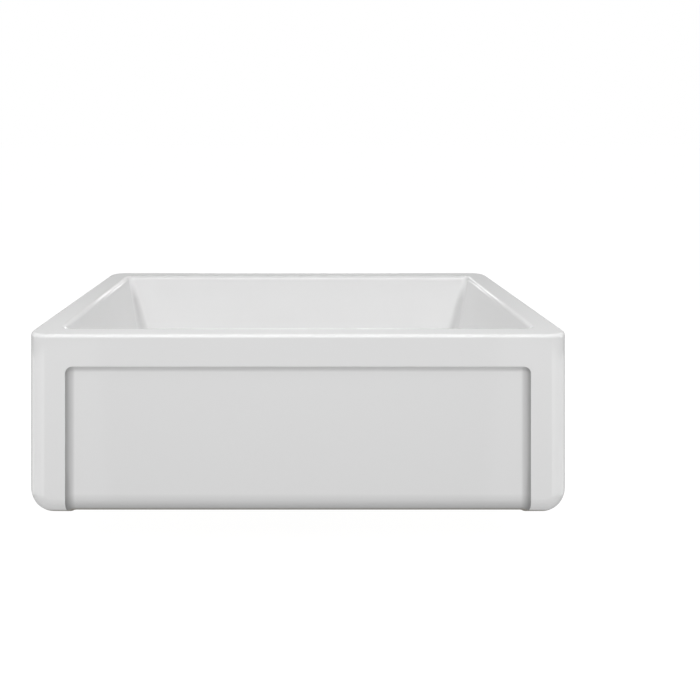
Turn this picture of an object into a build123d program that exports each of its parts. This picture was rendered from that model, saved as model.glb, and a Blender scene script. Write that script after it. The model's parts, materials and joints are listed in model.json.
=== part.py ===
from build123d import *
from math import pi, radians, sqrt, tan
import os

# Farmhouse sink with an apron front and its basket strainer, in millimetres.
# The origin is the middle of the basin's underside: +X right, +Y to the back, +Z up.
# The recessed apron faces -Y. The drain hangs below z = 0, through the cabinet that carries the sink.

# ---------------------------------------------------------------- basin: driving sizes

sink_width = 762.0
sink_depth = 457.2
sink_height = 257.0
outer_edge_radius = 27.0  # the upright corners, and the bottom edge at the front and back
foot_corner_radius = 36.0  # the bottom edge at the left and right
rim_outer_radius = 5.0
rim_inner_radius = 8.0
side_rim_width = 41.0  # rim from the outer face to the bowl, left and right
front_rim_width = 37.0  # the same, front and back

side_wall_draft = 14.0  # degrees that the left and right bowl walls lean in towards the floor
front_wall_draft = 9.0  # the same for the front and back bowl walls
bowl_rim_corner = 9.0  # plan radius between two bowl walls, at the rim
bowl_base_corner = 40.0  # the same, at the level of the underside
bowl_floor_radius = 30.0  # roll between walls and floor
drain_floor_thickness = 24.0
floor_fall = 1.5  # degrees that the floor falls to the drain

recess_depth = 8.0
post_width = 55.7  # from the side of the sink to the recess
top_rail_height = 44.8  # from the rim to the recess
recess_cove_radius = 10.0  # hollow corner round the recess
recess_arris_radius = 1.2  # where the recess breaks the front face
panel_foot_radius = 20.5  # roll of the panel under the sink
panel_foot_slope = 8.0  # degrees from level where the panel meets the underside
panel_foot_margin = 2.6  # how far the panel ends behind the rounded bottom edge

shell_thickness = 13.0  # fired clay round the hollow core of the walls
core_top_margin = 18.0  # solid clay between the hollow core and the rim
vent_hole_radius = 4.0

# ---------------------------------------------------------------- drain: driving sizes

drain_hole_clearance = 2.5  # round the strainer's cup
drain_hole_chamfer = 1.5
flange_seat_clearance = 2.35  # round the strainer's flange
flange_seat_depth = 2.5  # below the floor's lowest level
flange_seat_edge_radius = 2.0

flange_width = 14.15  # beyond the cup's thread
flange_lip = 2.2  # height of the flange's turned-down edge
strainer_sheet = 1.5
cup_thread_radius = 43.0
cup_depth = 54.0  # flange top to cup floor
throat_radius = 5.0
cup_corner_radius = 6.0
outlet_thread_radius = 23.75
outlet_wall = 3.75
outlet_length = 21.7  # from the cup floor to the end of the nipple
nipple_collar_width = 3.75  # beyond the thread, brazed to the underside of the cup
nipple_collar_thickness = 2.0
spider_drop = 2.0  # cup floor to the top of the spider
spider_thickness = 2.0
spider_rim = 1.6
spider_arm_width = 3.5
spider_hub_radius = 8.5
spider_bore_clearance = 0.4

putty_bed = 1.0  # putty under the flange's edge
gasket_thickness = 3.0
gasket_width = 10.8
gasket_clearance = 0.2  # round the cup's thread
gasket_seat_clearance = 6.0  # round the gasket
gasket_seat_depth = 1.0  # ground flat in the underside, round the drain hole
friction_washer_thickness = 0.8
thread_clearance = 0.05  # between a nut and the thread it runs on
nut_edge_chamfer = 0.6
locknut_height = 10.0
locknut_wall = 6.5
locknut_lugs = 6
locknut_lug_length = 5.5
locknut_lug_width = 12.0

tailpiece_radius = 19.05
tailpiece_wall = 1.2
tailpiece_length = 40.0  # below its flange
tailpiece_flange_clearance = 1.2  # inside the slip nut's thread
tailpiece_flange_thickness = 1.5
tailpiece_washer_thickness = 2.0
tailpiece_washer_step = 0.4  # how far its bore stands inside the nipple's
slip_nut_wall = 3.6
slip_nut_engagement = 14.0  # length of thread inside the nut
slip_nut_lip = 3.0
slip_nut_bore_clearance = 0.65
slip_nut_ribs = 8
slip_nut_rib_radius = 3.0

# ---------------------------------------------------------------- basket and stopper: driving sizes

basket_clearance = 0.3  # between basket and cup wall
basket_sheet = 0.8
basket_lip_width = 2.8  # flat lip outside the rounded throat
basket_depth = 22.0  # flange top to basket floor
basket_taper = 8.2  # how much smaller the floor's radius is than the mouth's
basket_corner_radius = 5.0
basket_hole_radius = 1.6
basket_ring_margin = 4.5  # from the hub's flange to the innermost ring of holes in the floor
basket_ring_pitch = 6.0
basket_hole_spacing = 7.3  # along a ring
basket_wall_rows = [9.0, 14.0]  # height of each row of holes above the basket floor
basket_wall_holes = 30

post_radius = 4.0
post_clearance = 0.05  # in the hub
post_thread_radius = 2.5
post_groove_depth = 0.4
post_groove_height = 1.2
post_pin_length = 8.0  # below the cup floor
stopper_travel = 12.0  # from closed to open
stop_gap = 0.3  # left between the post's collar and the hub when open
post_collar_radius = 7.0
hub_shank_radius = 6.0
hub_flange_radius = 9.5
hub_flange_thickness = 1.4
hub_boss_radius = 8.0
hub_boss_height = 8.0  # above the basket floor
clip_section = 1.8
clip_height = 1.0
clip_gap_angle = 60.0  # opening of the spring clip, in degrees
clip_clearance = 0.1

knob_radius = 12.0
knob_height = 13.0
knob_neck_radius = 6.5
knob_neck_height = 5.0
knob_edge_radius = 2.0
knob_gap = 1.5  # knob above the hub when closed

seal_overlap = 4.0  # seal beyond the edge of the outlet
seal_thickness = 3.0
seal_gap = 0.3  # between the seal and the cup floor when closed
seal_plate_radius = 17.0
seal_plate_thickness = 1.2
seal_nut_radius = 7.5
seal_nut_height = 1.9

# ---------------------------------------------------------------- places worked out from the sizes

front_y = -sink_depth / 2
panel_y = front_y + recess_depth
foot_y = front_y + outer_edge_radius + panel_foot_margin

bowl_half_width = sink_width / 2 - side_rim_width
bowl_half_depth = sink_depth / 2 - front_rim_width
side_wall_lean = sink_height * tan(radians(side_wall_draft))  # from the rim to the underside
front_wall_lean = sink_height * tan(radians(front_wall_draft))

flange_radius = cup_thread_radius + flange_width
drain_hole_radius = cup_thread_radius + drain_hole_clearance
flange_seat_radius = flange_radius + flange_seat_clearance
flange_seat_z = drain_floor_thickness - flange_seat_depth
flange_edge_z = flange_seat_z + putty_bed
flange_top_z = flange_edge_z + flange_lip
cup_bore_radius = cup_thread_radius - strainer_sheet
cup_floor_z = flange_top_z - cup_depth
outlet_bore_radius = outlet_thread_radius - outlet_wall
nipple_collar_radius = outlet_thread_radius + nipple_collar_width
outlet_end_z = cup_floor_z - outlet_length
spider_top_z = cup_floor_z - spider_drop

gasket_z = gasket_seat_depth - gasket_thickness
friction_washer_z = gasket_z - friction_washer_thickness
locknut_z = friction_washer_z - locknut_height
gasket_bore = cup_thread_radius + gasket_clearance
gasket_radius = gasket_bore + gasket_width
gasket_seat_radius = gasket_radius + gasket_seat_clearance
locknut_bore = cup_thread_radius + thread_clearance
locknut_radius = locknut_bore + locknut_wall

tailpiece_washer_bore = outlet_bore_radius - tailpiece_washer_step
tailpiece_top_z = outlet_end_z - tailpiece_washer_thickness
tailpiece_neck_z = tailpiece_top_z - tailpiece_flange_thickness
tailpiece_end_z = tailpiece_neck_z - tailpiece_length
slip_nut_bore = outlet_thread_radius + thread_clearance
slip_nut_radius = slip_nut_bore + slip_nut_wall
tailpiece_flange_radius = slip_nut_bore - tailpiece_flange_clearance
slip_nut_top_z = outlet_end_z + slip_nut_engagement
slip_nut_z = tailpiece_neck_z - slip_nut_lip

basket_floor_z = flange_top_z - basket_depth
basket_top_radius = cup_bore_radius - basket_clearance
basket_lip_radius = basket_top_radius + throat_radius + basket_lip_width
basket_floor_radius = basket_top_radius - basket_taper
hub_bottom_z = basket_floor_z - basket_sheet - hub_flange_thickness
hub_top_z = basket_floor_z + hub_boss_height
hub_bore = post_radius + post_clearance
clip_bore = hub_bore + post_clearance
clip_radius = clip_bore + clip_section
clip_z = basket_floor_z + hub_boss_height / 2

seal_radius = outlet_bore_radius + seal_overlap
seal_z = cup_floor_z + seal_gap
seal_top_z = seal_z + seal_thickness
seal_plate_top_z = seal_top_z + seal_plate_thickness
collar_top_z = hub_bottom_z - stop_gap - stopper_travel
knob_z = hub_top_z + knob_gap
post_bottom_z = cup_floor_z - post_pin_length

os.makedirs("parts", exist_ok=True)


def finish(builder, name):
    """Label a finished piece and write it under its own name."""
    builder.part.label = name
    export_step(builder.part, f"parts/{name}.step")


def corner(radius, height):
    """The corner of the section being drawn that lies nearest to a radius and a height."""
    return vertices().sort_by_distance((radius, height))[0]


def ring(inner, outer, low, high):
    """A plain ring about the Z axis."""
    with BuildPart() as made:
        with BuildSketch(Plane.XZ):
            Polygon((inner, low), (outer, low), (outer, high), (inner, high), align=None)
        revolve(axis=Axis.Z)
    return made


# ---------------------------------------------------------------- basin
# The recess is a separate cutter: a slab with a hollow-cornered face, rolled under at its foot.

cove_overrun = recess_cove_radius - sqrt(recess_cove_radius**2 - (recess_cove_radius - recess_depth) ** 2)
recess_half_width = sink_width / 2 - post_width + cove_overrun
recess_top_z = sink_height - top_rail_height + cove_overrun
cutter_front_y = front_y - sink_depth / 10
cutter_low_z = -sink_height / 10
foot_end_y = foot_y + outer_edge_radius / 2
foot_slope = tan(radians(panel_foot_slope))

with BuildPart() as recess_cutter:
    with BuildSketch(Plane.YZ):
        with BuildLine():
            Polyline(
                (cutter_front_y, recess_top_z),
                (panel_y, recess_top_z),
                (panel_y, (foot_y - panel_y) * foot_slope),
                (foot_end_y, (foot_y - foot_end_y) * foot_slope),
                (foot_end_y, cutter_low_z),
                (cutter_front_y, cutter_low_z),
                close=True,
            )
        make_face()
        foot_corner = vertices().group_by(Axis.X)[1].sort_by(Axis.Y)[0]
        fillet(foot_corner, radius=panel_foot_radius)
    extrude(amount=recess_half_width, both=True)
    top_corners = edges().filter_by(Axis.Y).group_by(Axis.Z)[-1]
    face_edges = recess_cutter.edges().filter_by(
        lambda edge: edge.center().Y > panel_y - 0.01
        and edge.center().Z > cutter_low_z / 2
        and edge.bounding_box().size.X < 0.01
    )
    top_edge = edges().filter_by(Axis.X).group_by(Axis.Z)[-1].sort_by(Axis.Y)[-1]
    fillet(top_corners + face_edges + [top_edge], radius=recess_cove_radius)

# The bowl is a second cutter: drafted walls whose corners open out downwards, and a floor that falls
# to the drain from all sides.
floor_reach = bowl_half_width + bowl_half_depth

with BuildPart() as bowl_cutter:
    with BuildSketch(Plane.XY.offset(sink_height)):
        RectangleRounded(2 * bowl_half_width, 2 * bowl_half_depth, bowl_rim_corner)
    with BuildSketch(Plane.XY):
        RectangleRounded(
            2 * (bowl_half_width - side_wall_lean),
            2 * (bowl_half_depth - front_wall_lean),
            bowl_base_corner,
        )
    loft(ruled=True)
    with BuildSketch(Plane.XZ):
        with BuildLine():
            Polyline(
                (0, drain_floor_thickness),
                (floor_reach, drain_floor_thickness + floor_reach * tan(radians(floor_fall))),
                (floor_reach, -sink_height),
                (0, -sink_height),
                close=True,
            )
        make_face()
    revolve(axis=Axis.Z, mode=Mode.SUBTRACT)
    floor_edges = faces().filter_by(GeomType.CONE).edges()
    fillet(floor_edges, radius=bowl_floor_radius)


def round_block(side_foot_radius, edge_radius):
    """Round the left and right bottom edges of a block, then the outlines of its front and back below the top."""
    fillet(edges().filter_by(Axis.Y).group_by(Axis.Z)[0], radius=side_foot_radius)
    top_z = vertices().sort_by(Axis.Z)[-1].Z
    front_to_back = faces().sort_by(Axis.Y)
    outlines = front_to_back[0].edges() + front_to_back[-1].edges()
    fillet(outlines.filter_by(lambda edge: edge.center().Z < top_z - 0.01), radius=edge_radius)


# The hollow core lies between the outer shell and the shell round the bowl.
core_front_y = panel_y + shell_thickness
core_back_y = sink_depth / 2 - shell_thickness

with BuildPart() as core_cutter:
    with BuildSketch(Plane.XY.offset(shell_thickness)):
        with Locations((0, (core_front_y + core_back_y) / 2)):
            Rectangle(sink_width - 2 * shell_thickness, core_back_y - core_front_y)
    extrude(amount=sink_height - core_top_margin - shell_thickness)
    round_block(foot_corner_radius - shell_thickness, outer_edge_radius - shell_thickness)
    with BuildSketch(Plane.XY.offset(sink_height)):
        RectangleRounded(
            2 * (bowl_half_width + shell_thickness),
            2 * (bowl_half_depth + shell_thickness),
            bowl_rim_corner + shell_thickness,
        )
    with BuildSketch(Plane.XY):
        RectangleRounded(
            2 * (bowl_half_width + shell_thickness - side_wall_lean),
            2 * (bowl_half_depth + shell_thickness - front_wall_lean),
            bowl_base_corner + shell_thickness,
        )
    loft(ruled=True, mode=Mode.SUBTRACT)

with BuildPart() as basin:
    with BuildSketch():
        Rectangle(sink_width, sink_depth)
    extrude(amount=sink_height)
    round_block(foot_corner_radius, outer_edge_radius)
    fillet(edges().group_by(Axis.Z)[-1], radius=rim_outer_radius)
    add(recess_cutter.part, mode=Mode.SUBTRACT)
    recess_arris = edges().filter_by(
        lambda edge: abs(edge.center().Y - front_y) < 0.01
        and abs(edge.center().X) < recess_half_width
        and edge.center().Z < recess_top_z
    )
    fillet(recess_arris, radius=recess_arris_radius)
    add(bowl_cutter.part, mode=Mode.SUBTRACT)
    bowl_mouth = edges().group_by(Axis.Z)[-1].filter_by(
        lambda edge: abs(edge.center().X) < bowl_half_width + 0.01
        and abs(edge.center().Y) < bowl_half_depth + 0.01
    )
    fillet(bowl_mouth, radius=rim_inner_radius)
    add(core_cutter.part, mode=Mode.SUBTRACT)
    # Drain hole, the flange's sunk seat above it and the gasket's ground seat below it.
    with BuildSketch(Plane.XZ):
        Polygon(
            (0, -gasket_seat_depth),
            (gasket_seat_radius, -gasket_seat_depth),
            (gasket_seat_radius, gasket_seat_depth),
            (drain_hole_radius, gasket_seat_depth),
            (drain_hole_radius, flange_seat_z - drain_hole_chamfer),
            (drain_hole_radius + drain_hole_chamfer, flange_seat_z),
            (flange_seat_radius, flange_seat_z),
            (flange_seat_radius, 2 * drain_floor_thickness),
            (0, 2 * drain_floor_thickness),
            align=None,
        )
    revolve(axis=Axis.Z, mode=Mode.SUBTRACT)
    seat_circles = edges().filter_by(GeomType.CIRCLE).filter_by(
        lambda edge: abs(edge.radius - flange_seat_radius) < 0.01
    )
    fillet(seat_circles.sort_by(Axis.Z)[-1], radius=flange_seat_edge_radius)
    # Vent holes from the hollow core to the underside, one to each wall.
    vent_x = sink_width / 2 - foot_corner_radius - shell_thickness
    vent_y = sink_depth / 2 - outer_edge_radius - shell_thickness
    with BuildSketch():
        with Locations((vent_x, 0), (-vent_x, 0), (0, vent_y), (0, -vent_y)):
            Circle(vent_hole_radius)
    extrude(amount=2 * shell_thickness, mode=Mode.SUBTRACT)

finish(basin, "basin")

# ---------------------------------------------------------------- strainer body, nipple and spider
# The body is one drawn sheet: flange, rounded throat, cup and cup floor.

flange_under_z = flange_top_z - strainer_sheet
cup_under_z = cup_floor_z - strainer_sheet

with BuildPart() as strainer_body:
    with BuildSketch(Plane.XZ):
        Polygon(
            (flange_radius, flange_edge_z),
            (flange_radius, flange_top_z),
            (cup_bore_radius, flange_top_z),
            (cup_bore_radius, cup_floor_z),
            (outlet_bore_radius, cup_floor_z),
            (outlet_bore_radius, cup_under_z),
            (cup_thread_radius, cup_under_z),
            (cup_thread_radius, flange_under_z),
            (flange_radius - strainer_sheet, flange_under_z),
            (flange_radius - strainer_sheet, flange_edge_z),
            align=None,
        )
        fillet(corner(cup_bore_radius, flange_top_z), radius=throat_radius)
        fillet(corner(cup_thread_radius, flange_under_z), radius=throat_radius - strainer_sheet)
        fillet(corner(cup_bore_radius, cup_floor_z), radius=cup_corner_radius)
        fillet(corner(cup_thread_radius, cup_under_z), radius=cup_corner_radius + strainer_sheet)
        fillet(corner(flange_radius, flange_top_z), radius=strainer_sheet / 2)
    revolve(axis=Axis.Z)

finish(strainer_body, "strainer_body")

nipple_collar_z = cup_under_z - nipple_collar_thickness

with BuildPart() as outlet_nipple:
    with BuildSketch(Plane.XZ):
        Polygon(
            (outlet_bore_radius, cup_under_z),
            (nipple_collar_radius, cup_under_z),
            (nipple_collar_radius, nipple_collar_z),
            (outlet_thread_radius, nipple_collar_z),
            (outlet_thread_radius, outlet_end_z),
            (outlet_bore_radius, outlet_end_z),
            align=None,
        )
    revolve(axis=Axis.Z)

finish(outlet_nipple, "outlet_nipple")

# The spider sits in the outlet and guides the post: a hub on four arms inside a rim.
with BuildPart() as outlet_spider:
    with BuildSketch(Plane.XY.offset(spider_top_z - spider_thickness)):
        Circle(outlet_bore_radius)
        Circle(outlet_bore_radius - spider_rim, mode=Mode.SUBTRACT)
        Rectangle(2 * outlet_bore_radius - spider_rim, spider_arm_width)
        Rectangle(spider_arm_width, 2 * outlet_bore_radius - spider_rim)
        Circle(spider_hub_radius)
        Circle(post_radius + spider_bore_clearance, mode=Mode.SUBTRACT)
    extrude(amount=spider_thickness)

finish(outlet_spider, "outlet_spider")

# ---------------------------------------------------------------- what seals and clamps the strainer

putty_radius = flange_radius - strainer_sheet
sealing_putty = ring(drain_hole_radius + drain_hole_chamfer, putty_radius, flange_seat_z, flange_under_z)
finish(sealing_putty, "sealing_putty")

rubber_gasket = ring(gasket_bore, gasket_radius, gasket_z, gasket_seat_depth)
finish(rubber_gasket, "rubber_gasket")

friction_washer = ring(gasket_bore, gasket_radius, friction_washer_z, gasket_z)
finish(friction_washer, "friction_washer")

with BuildPart() as locknut:
    with BuildSketch(Plane.XY.offset(locknut_z)):
        Circle(locknut_radius)
        with PolarLocations(locknut_radius, locknut_lugs):
            Rectangle(2 * locknut_lug_length, locknut_lug_width)
        Circle(locknut_bore, mode=Mode.SUBTRACT)
    extrude(amount=locknut_height)
    chamfer(edges().group_by(Axis.Z)[0] + edges().group_by(Axis.Z)[-1], length=nut_edge_chamfer)

finish(locknut, "locknut")

# ---------------------------------------------------------------- tailpiece and its slip nut

tailpiece_washer = ring(tailpiece_washer_bore, outlet_thread_radius, tailpiece_top_z, outlet_end_z)
finish(tailpiece_washer, "tailpiece_washer")

tailpiece_bore = tailpiece_radius - tailpiece_wall

with BuildPart() as tailpiece:
    with BuildSketch(Plane.XZ):
        Polygon(
            (tailpiece_bore, tailpiece_top_z),
            (tailpiece_flange_radius, tailpiece_top_z),
            (tailpiece_flange_radius, tailpiece_neck_z),
            (tailpiece_radius, tailpiece_neck_z),
            (tailpiece_radius, tailpiece_end_z),
            (tailpiece_bore, tailpiece_end_z),
            align=None,
        )
    revolve(axis=Axis.Z)

finish(tailpiece, "tailpiece")

with BuildPart() as slip_nut:
    with BuildSketch(Plane.XY.offset(slip_nut_z)):
        Circle(slip_nut_radius)
        with PolarLocations(slip_nut_radius, slip_nut_ribs):
            Circle(slip_nut_rib_radius)
        Circle(tailpiece_radius + slip_nut_bore_clearance, mode=Mode.SUBTRACT)
    extrude(amount=slip_nut_top_z - slip_nut_z)
    with BuildSketch(Plane.XY.offset(tailpiece_neck_z)):
        Circle(slip_nut_bore)
    extrude(amount=slip_nut_top_z - tailpiece_neck_z, mode=Mode.SUBTRACT)
    chamfer(edges().group_by(Axis.Z)[0] + edges().group_by(Axis.Z)[-1], length=nut_edge_chamfer)

finish(slip_nut, "slip_nut")

# ---------------------------------------------------------------- basket

basket_under_z = basket_floor_z - basket_sheet
basket_bore_radius = basket_top_radius - basket_sheet
basket_first_ring = hub_flange_radius + basket_ring_margin
basket_flat_radius = basket_floor_radius - basket_corner_radius - basket_hole_radius
basket_rings = 1 + int((basket_flat_radius - basket_first_ring) / basket_ring_pitch)

with BuildPart() as basket_cup:
    with BuildSketch(Plane.XZ):
        Polygon(
            (basket_lip_radius, flange_top_z),
            (basket_lip_radius, flange_top_z + basket_sheet),
            (basket_bore_radius, flange_top_z + basket_sheet),
            (basket_floor_radius, basket_floor_z),
            (hub_shank_radius, basket_floor_z),
            (hub_shank_radius, basket_under_z),
            (basket_floor_radius + basket_sheet, basket_under_z),
            (basket_top_radius, flange_top_z),
            align=None,
        )
        fillet(corner(basket_bore_radius, flange_top_z + basket_sheet), radius=throat_radius + basket_sheet)
        fillet(corner(basket_top_radius, flange_top_z), radius=throat_radius)
        fillet(corner(basket_floor_radius, basket_floor_z), radius=basket_corner_radius)
        fillet(
            corner(basket_floor_radius + basket_sheet, basket_under_z),
            radius=basket_corner_radius + basket_sheet,
        )
    revolve(axis=Axis.Z)
    with BuildSketch(Plane.XY.offset(basket_under_z)):
        for ring_number in range(basket_rings):
            ring_radius = basket_first_ring + ring_number * basket_ring_pitch
            with PolarLocations(ring_radius, int(2 * pi * ring_radius / basket_hole_spacing)):
                Circle(basket_hole_radius)
    extrude(amount=basket_sheet, mode=Mode.SUBTRACT)
    # Wall holes are drilled from the axis outwards, across the whole slope of the wall.
    for row_height in basket_wall_rows:
        with Locations((0, 0, basket_floor_z + row_height)):
            with PolarLocations((basket_floor_radius + basket_top_radius) / 2, basket_wall_holes):
                Cylinder(
                    radius=basket_hole_radius,
                    height=basket_top_radius - basket_floor_radius + 4 * basket_hole_radius,
                    rotation=(0, 90, 0),
                    mode=Mode.SUBTRACT,
                )

finish(basket_cup, "basket_cup")

hub_rivet_z = basket_floor_z + hub_flange_thickness
clip_groove = clip_height + 2 * clip_clearance

with BuildPart() as basket_hub:
    with BuildSketch(Plane.XZ):
        Polygon(
            (hub_bore, hub_bottom_z),
            (hub_flange_radius, hub_bottom_z),
            (hub_flange_radius, basket_under_z),
            (hub_shank_radius, basket_under_z),
            (hub_shank_radius, basket_floor_z),
            (hub_flange_radius, basket_floor_z),
            (hub_flange_radius, hub_rivet_z),
            (hub_boss_radius, hub_rivet_z),
            (hub_boss_radius, hub_top_z),
            (hub_bore, hub_top_z),
            (hub_bore, clip_z + clip_groove / 2),
            (clip_radius + clip_clearance, clip_z + clip_groove / 2),
            (clip_radius + clip_clearance, clip_z - clip_groove / 2),
            (hub_bore, clip_z - clip_groove / 2),
            align=None,
        )
    revolve(axis=Axis.Z)

finish(basket_hub, "basket_hub")

with BuildPart() as post_spring_clip:
    with BuildSketch(Plane.XZ):
        Polygon(
            (clip_bore, clip_z - clip_height / 2),
            (clip_radius, clip_z - clip_height / 2),
            (clip_radius, clip_z + clip_height / 2),
            (clip_bore, clip_z + clip_height / 2),
            align=None,
        )
    revolve(axis=Axis.Z, revolution_arc=360 - clip_gap_angle)

finish(post_spring_clip, "post_spring_clip")

# ---------------------------------------------------------------- post, knob and stopper
# The post slides in the hub. Its two grooves meet the spring clip when the stopper is shut and open.

post_waist = post_radius - post_groove_depth
post_top_z = knob_z + knob_height / 2
open_groove_z = clip_z - stopper_travel

with BuildPart() as basket_post:
    with BuildSketch(Plane.XZ):
        Polygon(
            (0, post_bottom_z),
            (post_radius, post_bottom_z),
            (post_radius, seal_plate_top_z),
            (post_collar_radius, seal_plate_top_z),
            (post_collar_radius, collar_top_z),
            (post_radius, collar_top_z),
            (post_radius, knob_z),
            (post_thread_radius, knob_z),
            (post_thread_radius, post_top_z),
            (0, post_top_z),
            align=None,
        )
        chamfer(corner(post_radius, post_bottom_z), length=post_groove_depth)
    revolve(axis=Axis.Z)
    for groove_z in (clip_z, open_groove_z):
        with BuildSketch(Plane.XY.offset(groove_z - post_groove_height / 2)):
            Circle(post_radius)
            Circle(post_waist, mode=Mode.SUBTRACT)
        extrude(amount=post_groove_height, mode=Mode.SUBTRACT)

finish(basket_post, "basket_post")

with BuildPart() as basket_knob:
    with BuildSketch(Plane.XZ):
        Polygon(
            (post_thread_radius, knob_z),
            (knob_neck_radius, knob_z),
            (knob_neck_radius, knob_z + knob_neck_height),
            (knob_radius, knob_z + knob_neck_height),
            (knob_radius, knob_z + knob_height),
            (0, knob_z + knob_height),
            (0, post_top_z),
            (post_thread_radius, post_top_z),
            align=None,
        )
        fillet(corner(knob_neck_radius, knob_z + knob_neck_height), radius=knob_edge_radius)
        fillet(corner(knob_radius, knob_z + knob_neck_height), radius=knob_edge_radius)
        fillet(corner(knob_radius, knob_z + knob_height), radius=knob_edge_radius)
    revolve(axis=Axis.Z)

finish(basket_knob, "basket_knob")

seal_plate = ring(post_radius, seal_plate_radius, seal_top_z, seal_plate_top_z)
finish(seal_plate, "seal_plate")

stopper_seal = ring(post_radius, seal_radius, seal_z, seal_top_z)
finish(stopper_seal, "stopper_seal")

with BuildPart() as seal_nut:
    with BuildSketch(Plane.XY.offset(seal_z - seal_nut_height)):
        RegularPolygon(seal_nut_radius, 6)
        Circle(post_radius, mode=Mode.SUBTRACT)
    extrude(amount=seal_nut_height)

finish(seal_nut, "seal_nut")
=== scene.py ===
"""Farmhouse apron front sink with its basket strainer: finishes, fine shapes, studio and camera.

Metres, Z up. The origin is on the drain's axis at the level of the sink's underside. The apron faces -Y.
"""
import json
from math import atan2, cos, hypot, pi, radians, sin, tan

import bpy
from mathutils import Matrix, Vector


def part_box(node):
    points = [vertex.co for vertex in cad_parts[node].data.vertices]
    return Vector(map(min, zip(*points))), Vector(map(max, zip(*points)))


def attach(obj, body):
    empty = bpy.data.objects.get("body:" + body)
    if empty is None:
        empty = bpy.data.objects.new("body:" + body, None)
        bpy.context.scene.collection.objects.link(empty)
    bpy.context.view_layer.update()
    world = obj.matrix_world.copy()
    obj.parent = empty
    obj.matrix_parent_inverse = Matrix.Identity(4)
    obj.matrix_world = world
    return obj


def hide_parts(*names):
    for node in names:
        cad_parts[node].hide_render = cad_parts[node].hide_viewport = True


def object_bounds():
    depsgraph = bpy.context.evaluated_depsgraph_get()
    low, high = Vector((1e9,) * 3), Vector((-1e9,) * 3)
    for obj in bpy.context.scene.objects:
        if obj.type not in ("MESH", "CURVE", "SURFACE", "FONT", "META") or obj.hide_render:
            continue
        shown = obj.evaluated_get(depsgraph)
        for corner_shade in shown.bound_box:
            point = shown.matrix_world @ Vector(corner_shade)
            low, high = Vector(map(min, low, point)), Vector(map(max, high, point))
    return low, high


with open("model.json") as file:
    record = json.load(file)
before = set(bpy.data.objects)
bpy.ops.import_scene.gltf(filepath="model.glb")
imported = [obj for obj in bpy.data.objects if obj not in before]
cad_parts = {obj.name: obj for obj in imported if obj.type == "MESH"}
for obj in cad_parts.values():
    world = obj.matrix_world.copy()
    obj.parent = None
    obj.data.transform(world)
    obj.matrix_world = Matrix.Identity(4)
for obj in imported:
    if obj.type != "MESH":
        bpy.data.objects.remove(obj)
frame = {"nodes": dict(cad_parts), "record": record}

cad_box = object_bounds()

# ---------------------------------------------------------------- sizes of the sink, read from the frame
sink_low, sink_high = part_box("basin")
sink_front_y = sink_low.y

# ---------------------------------------------------------------- sizes of the sink that its finish follows
side_rim_width = 0.041
end_rim_width = 0.037
bowl_half_width = sink_high.x - side_rim_width  # at the rim
bowl_half_depth = sink_high.y - end_rim_width
side_wall_lean = tan(radians(14.0))
end_wall_lean = tan(radians(9.0))
bowl_rim_corner = 0.009
bowl_base_corner = 0.040
bowl_corner_opening = (bowl_base_corner - bowl_rim_corner) / sink_high.z  # radius gained on the way down
post_width = 0.0557  # from the side of the sink to the recess
top_rail_height = 0.0448  # from the rim to the recess
recess_depth = 0.008
recess_overrun = 0.0002  # how far the recess's hollow corners widen it
recess_half_width = sink_high.x - post_width + recess_overrun
recess_top = sink_high.z - top_rail_height
recess_shade_width = 0.0115  # how far the painted shade reaches from the recess's edge
foot_shade_top = 0.0098  # above this the foot has no painted shade
foot_shade_full = 0.0068  # below this the painted shade at the foot is full and the glaze matt
unglazed_height = 0.0006  # the glaze is wiped off the foot up to here
unglazed_wander = 0.0012  # how unevenly it was wiped

# ---------------------------------------------------------------- sizes of the strainer
sheet = 0.0015
throat_radius = 0.005
cup_corner = 0.006
cup_wall_radius = 0.0415
cup_floor_z = -0.0293
cup_under_z = cup_floor_z - sheet
thread_radius = 0.043
cup_thread_depth = 0.0006
cup_thread_pitch = 0.0021
edge_rounding = 0.0003  # of the flange's rolled edge
outlet_bore = 0.020
outlet_thread_depth = 0.0008
outlet_thread_pitch = 0.0022
outlet_thread_radius = 0.02375
thread_clearance = 0.00005
casting_slack = 0.00005
thread_core = 0.0004  # thickness of metal under a thread's root
nipple_collar_radius = 0.0275
nipple_collar_height = 0.002
tube_radius = 0.01905
tube_wall = 0.0012
tube_flange_height = 0.0015


def extent(node):
    """Largest radius about the drain's axis, lowest height and highest height of a round node."""
    low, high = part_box(node)
    return high.x, low.z, high.z


# ================================================================ modelling
def deselect_all():
    bpy.ops.object.select_all(action="DESELECT")


def edit_mode():
    bpy.ops.object.mode_set(mode="EDIT")


def object_mode():
    bpy.ops.object.mode_set(mode="OBJECT")


def arc(centre, radius, start, end, steps=6):
    """Points of a round stretch of a profile. Angles are in degrees: 0 points outwards and 90 up."""
    points = []
    for step in range(steps + 1):
        angle = radians(start + (end - start) * step / steps)
        points.append((centre[0] + radius * cos(angle), centre[1] + radius * sin(angle)))
    return points


def turned(name, profile, segments=96):
    """A ring of points extruded along a closed profile of (radius, height) pairs about the drain's axis."""
    radius, height = profile[0]
    deselect_all()
    bpy.ops.mesh.primitive_circle_add(vertices=segments, radius=radius, location=(0, 0, height))
    piece = bpy.context.object
    piece.name = name
    bpy.ops.object.transform_apply(location=True, rotation=True, scale=True)
    edit_mode()
    bpy.ops.mesh.select_mode(type="EDGE")
    bpy.ops.mesh.select_all(action="SELECT")
    for next_radius, next_height in profile[1:] + profile[:1]:
        rise = (0, 0, next_height - height)
        bpy.ops.mesh.extrude_region_move(TRANSFORM_OT_translate={"value": rise})
        widen = next_radius / radius
        bpy.ops.transform.resize(value=(widen, widen, 1), center_override=(0, 0, next_height))
        radius, height = next_radius, next_height
    bpy.ops.mesh.select_all(action="SELECT")
    bpy.ops.mesh.remove_doubles(threshold=1e-6)
    bpy.ops.mesh.normals_make_consistent(inside=False)
    object_mode()
    return piece


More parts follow.
